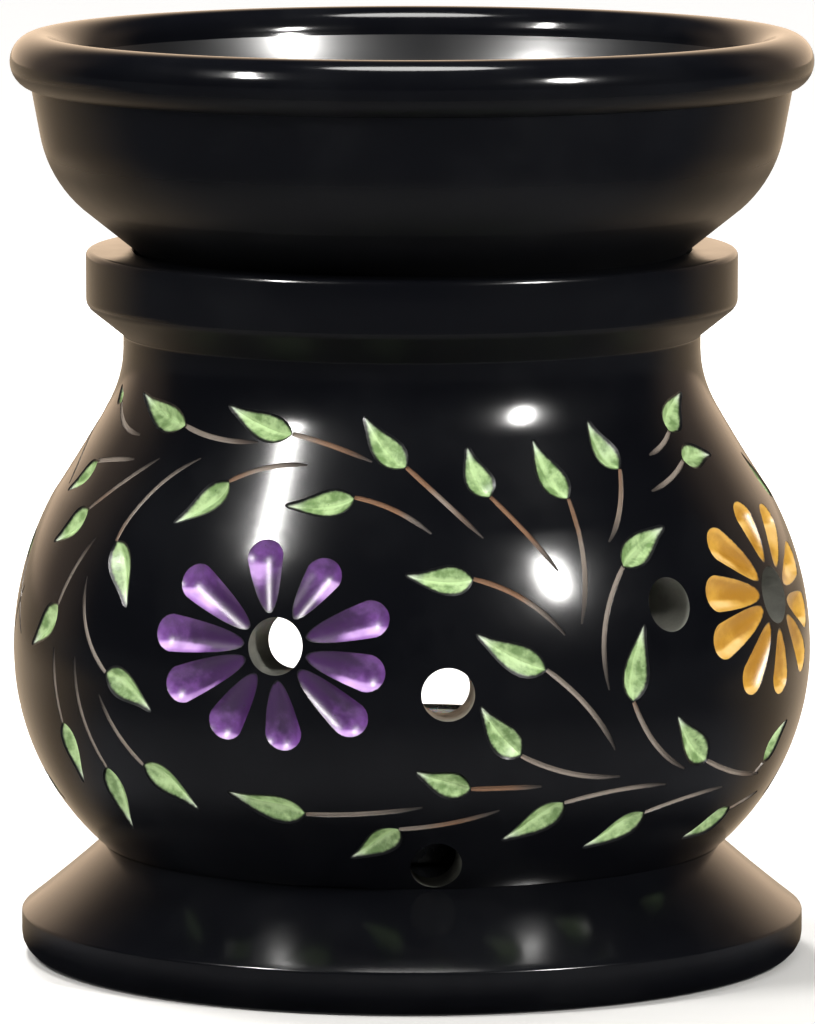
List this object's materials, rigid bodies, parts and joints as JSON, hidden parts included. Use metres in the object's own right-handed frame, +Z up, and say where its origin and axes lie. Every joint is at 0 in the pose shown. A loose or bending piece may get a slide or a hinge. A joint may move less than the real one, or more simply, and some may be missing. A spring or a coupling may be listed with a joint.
{
  "type": "essential oil burner",
  "caption": "Round black stone oil burner with carved painted flowers, drilled vents, a lift-off oil bowl and a tealight that slides out at the back.",
  "frame": {"origin": "on the surface that the foot stands on, at the middle of the foot", "axes": "+Z up along the axis that the pot was turned about; -Y is the front, and +Y is the side with the tealight doorway"},
  "size_m": [0.0866, 0.0866, 0.1],
  "materials": {
    "foot_stone": "polished",
    "pot_stone": "polished",
    "bowl_stone": "polished",
    "cup_aluminium": "bright",
    "candle_wax": "waxy",
    "wick_cotton": "braided cotton",
    "tab_steel": "plain"
  },
  "bodies": {
    "burner": {"base_foot": "foot_stone", "burner_body": "pot_stone"},
    "bowl": {"oil_bowl": "bowl_stone"},
    "tealight": {"tealight_cup": "cup_aluminium", "tealight_wax": "candle_wax", "tealight_wick": "wick_cotton", "wick_tab": "tab_steel"}
  },
  "joints": [
    {"name": "bowl_lift", "type": "slide", "parent": "burner", "child": "bowl", "axis": [0, 0, 1], "range_m": [0, 0.04]},
    {"name": "tealight_slide", "type": "slide", "parent": "burner", "child": "tealight", "axis": [0, 1, 0], "range_m": [0, 0.066]}
  ]
}
